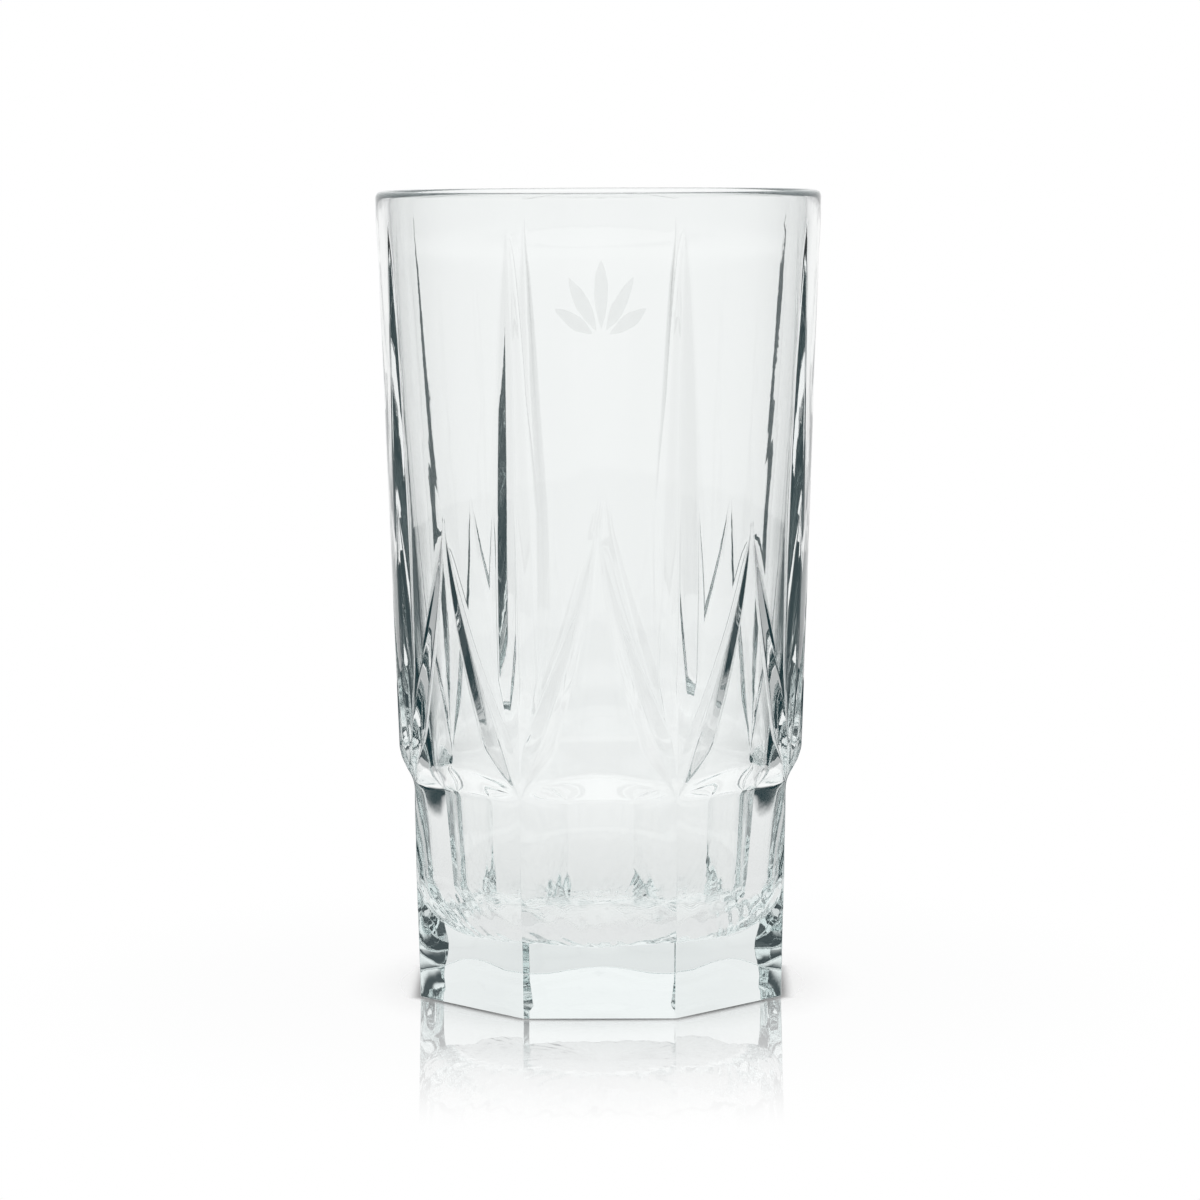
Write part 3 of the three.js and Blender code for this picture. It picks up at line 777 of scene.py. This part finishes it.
def floor_material(t):
    """White floor: matt and shaded close to the glass, with a painted contact shadow (a dark line in its
    colour) where the foot's edge touches it, mirroring the glass there, and plain white further out. Where
    the glass shows it, it is white with a painted shade under the glass, and darker for a ray that the glass
    has mirrored inside itself."""
    material, tree, output, place = new_material("white_floor")
    away = add_node(tree, "ShaderNodeVectorMath", {0: place}, operation="LENGTH").outputs["Value"]
    white = add_node(tree, "ShaderNodeEmission", {"Color": (1.0, 1.0, 1.0, 1.0), "Strength": 1.0})
    # Painted contact shadow: the floor's colour and its mirroring turn dark along the foot's edge, measured
    # square to the sides
    painted_contact_shadow = arithmetic(tree, "MULTIPLY", t.contact_shade,
                          fade_out(tree, eight_sided(tree, place), t.contact_near, t.contact_far))
    tone = add_node(tree, "ShaderNodeMix", {"Factor": painted_contact_shadow}, data_type="RGBA")
    tone.inputs["A"].default_value = (*t.matt_floor_and_shade, 1.0)
    tone.inputs["B"].default_value = (0.0, 0.0, 0.0, 1.0)
    matt = add_node(tree, "ShaderNodeBsdfDiffuse", {"Color": tone.outputs["Result"]})
    shaded = add_node(tree, "ShaderNodeMixShader",
                      {0: fade_out(tree, away, t.shade_near, t.shade_far), 1: white.outputs[0],
                       2: matt.outputs[0]})
    mirror = add_node(tree, "ShaderNodeBsdfGlossy",
                      {"Color": (*t.polish_tint, 1.0), "Roughness": t.polish_rough})
    gloss = arithmetic(tree, "MULTIPLY", fade_out(tree, away, t.polish_near, t.polish_far), t.polish)
    gloss = arithmetic(tree, "MULTIPLY", gloss, arithmetic(tree, "SUBTRACT", 1.0, painted_contact_shadow))
    seen = add_node(tree, "ShaderNodeMixShader", {0: gloss, 1: shaded.outputs[0], 2: mirror.outputs[0]})
    # Painted shadow of the glass: where the glass shows the floor, the floor glows white less this shade,
    # darker towards the glass
    under = fade_out(tree, away, t.shade_far / 2, t.glass_shade_far)
    light = arithmetic(tree, "SUBTRACT", 1.0, arithmetic(tree, "MULTIPLY", under, t.glass_shade))
    count = add_node(tree, "ShaderNodeMapRange",
                     {"Value": away, "From Min": t.white_near, "From Max": t.white_far,
                      "To Min": t.near_count, "To Max": t.far_count}).outputs["Result"]
    depth = tree.nodes.new("ShaderNodeLightPath").outputs["Glossy Depth"]
    counted = arithmetic(tree, "MULTIPLY", depth, count)
    bent = add_node(tree, "ShaderNodeEmission",
                    {"Color": mirrored_light(tree, t, light, counted), "Strength": 1.0})
    both = add_node(tree, "ShaderNodeMixShader",
                    {0: through_glass(tree), 1: seen.outputs[0], 2: bent.outputs[0]})
    tree.links.new(both.outputs[0], output.inputs["Surface"])
    material.cycles.emission_sampling = "NONE"
    return material


DISC_TURNS = 96
DISC_RINGS = 8


def build_floor(t):
    """The floor: a flat disc, from rings of points that grow outwards."""
    turns = np.linspace(0, 2 * math.pi, DISC_TURNS + 1)[:-1]
    rings = np.linspace(0, 1, DISC_RINGS + 1)[1:, None] * t.floor_radius
    level = np.full((len(rings), len(turns)), -t.floor_drop)
    grid = np.stack([rings * np.cos(turns), rings * np.sin(turns), level], axis=-1)
    points = np.concatenate([[[0.0, 0.0, -t.floor_drop]], grid.reshape(-1, 3)])
    index = 1 + np.arange(grid.shape[0] * grid.shape[1]).reshape(grid.shape[:2])
    right = np.roll(index, -1, axis=1)
    fan = np.stack([0 * index[0], index[0], right[0]], axis=-1)
    quads = np.stack([index[:-1], index[1:], right[1:], right[:-1]], axis=-1).reshape(-1, 4)
    mesh = bpy.data.meshes.new("floor")
    mesh.from_pydata(points.tolist(), [], fan.tolist() + quads.tolist())
    floor = bpy.data.objects.new("floor", mesh)
    mesh.materials.append(floor_material(t))
    bpy.context.collection.objects.link(floor)


def build_camera(t):
    """The camera: it stands back from the glass's axis, looks down by its pitch and leans by its roll."""
    data = bpy.data.cameras.new("camera")
    data.sensor_width = SENSOR_WIDTH
    data.lens = t.camera_lens
    data.clip_start = t.camera_clip
    camera = bpy.data.objects.new("camera", data)
    around = t.camera_azimuth
    right = Vector((math.cos(around), math.sin(around), 0.0))
    level = Vector((-math.sin(around), math.cos(around), 0.0))
    forward = level * math.cos(t.camera_pitch) - Vector((0, 0, math.sin(t.camera_pitch)))
    up = right.cross(forward)
    leaned_right = right * math.cos(t.camera_roll) + up * math.sin(t.camera_roll)
    leaned_up = up * math.cos(t.camera_roll) - right * math.sin(t.camera_roll)
    stand = -level * t.camera_distance + Vector((0, 0, t.camera_height))
    camera.matrix_world = Matrix.LocRotScale(
        stand, Matrix((leaned_right, leaned_up, -forward)).transposed(), None)
    bpy.context.collection.objects.link(camera)
    bpy.context.scene.camera = camera


def add_piece(mesh, material, node):
    """Adds a finished mesh to the scene as a piece that rides on the part and stands for a CAD node."""
    mesh.materials.append(material)
    piece = bpy.data.objects.new(mesh.name, mesh)
    bpy.context.collection.objects.link(piece)
    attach(piece, "root")
    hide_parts(node)


class GLASS_OT_press_tumbler(bpy.types.Operator):
    """Builds the pressed glass body"""

    bl_idname = "glass.press_tumbler"
    bl_label = "Press the tumbler"

    def execute(self, context):
        s = context.scene.tumbler_sizes
        grid = tumbler_surface(s)
        mesh = closed_grid_mesh("glass_body", grid, (0, 0, s.punt_depth), (0, 0, s.floor_thickness))
        add_piece(mesh, glass_material(context.scene.finish_colours), "tumbler")
        return {"FINISHED"}


class GLASS_OT_print_leaves(bpy.types.Operator):
    """Builds the fan of printed leaves on the back panel"""

    bl_idname = "glass.print_leaves"
    bl_label = "Print the leaves"

    def execute(self, context):
        s, p = context.scene.tumbler_sizes, context.scene.print_sizes
        enamel = enamel_material(context.scene.finish_colours)
        middle = (len(LEAF_NAMES) - 1) / 2
        for i, name in enumerate(LEAF_NAMES):
            tilt = (i - middle) * p.leaf_step
            length = p.leaf_length - p.leaf_shortening * abs(i - middle)
            grid = leaf_surface(s, p, tilt, length)
            half = np.array([0.5])
            foot = wrap_on_wall(s, p, tilt, 0 * half, p.root_gap + 0 * half, half)[0]
            tip = wrap_on_wall(s, p, tilt, 0 * half, p.root_gap + length + 0 * half, half)[0]
            mesh = closed_grid_mesh(f"enamel_leaf_{name}", grid, foot, tip)
            add_piece(mesh, enamel, f"print_leaf_{name}")
        return {"FINISHED"}


class GLASS_OT_set_stage(bpy.types.Operator):
    """Builds the white studio: the camera, the world and the floor"""

    bl_idname = "glass.set_stage"
    bl_label = "Set the stage"

    def execute(self, context):
        t = context.scene.studio_sizes
        build_camera(t)
        build_world(t)
        build_floor(t)
        scene = context.scene
        scene.view_settings.view_transform = "Standard"
        scene.cycles.max_bounces = MOST_BOUNCES
        scene.cycles.transmission_bounces = MOST_BOUNCES
        scene.cycles.glossy_bounces = GLOSSY_BOUNCES
        return {"FINISHED"}


class GLASS_PT_panel(bpy.types.Panel):
    """The glass's pieces and sizes in the sidebar"""

    bl_label = "Pressed highball glass"
    bl_space_type = "VIEW_3D"
    bl_region_type = "UI"
    bl_category = "Glass"

    def draw(self, context):
        for operator in OPERATORS:
            self.layout.operator(operator.bl_idname)
        for name, group in SETTINGS.items():
            column = self.layout.column(align=True)
            column.label(text=group.__doc__)
            for prop in group.__annotations__:
                column.prop(getattr(context.scene, name), prop)


OPERATORS = (GLASS_OT_press_tumbler, GLASS_OT_print_leaves, GLASS_OT_set_stage)
SETTINGS = {"tumbler_sizes": TumblerSizes, "print_sizes": PrintSizes, "finish_colours": FinishColours,
            "studio_sizes": StudioSizes}


def register():
    """Registers the settings, the operators and the panel."""
    for name, group in SETTINGS.items():
        bpy.utils.register_class(group)
        setattr(bpy.types.Scene, name, PointerProperty(type=group))
    for cls in (*OPERATORS, GLASS_PT_panel):
        bpy.utils.register_class(cls)


def unregister():
    """Undoes register."""
    for cls in (GLASS_PT_panel, *reversed(OPERATORS)):
        bpy.utils.unregister_class(cls)
    for name, group in SETTINGS.items():
        delattr(bpy.types.Scene, name)
        bpy.utils.unregister_class(group)


def main():
    register()
    bpy.ops.glass.press_tumbler()
    bpy.ops.glass.print_leaves()
    bpy.ops.glass.set_stage()


if __name__ == "__main__":
    main()
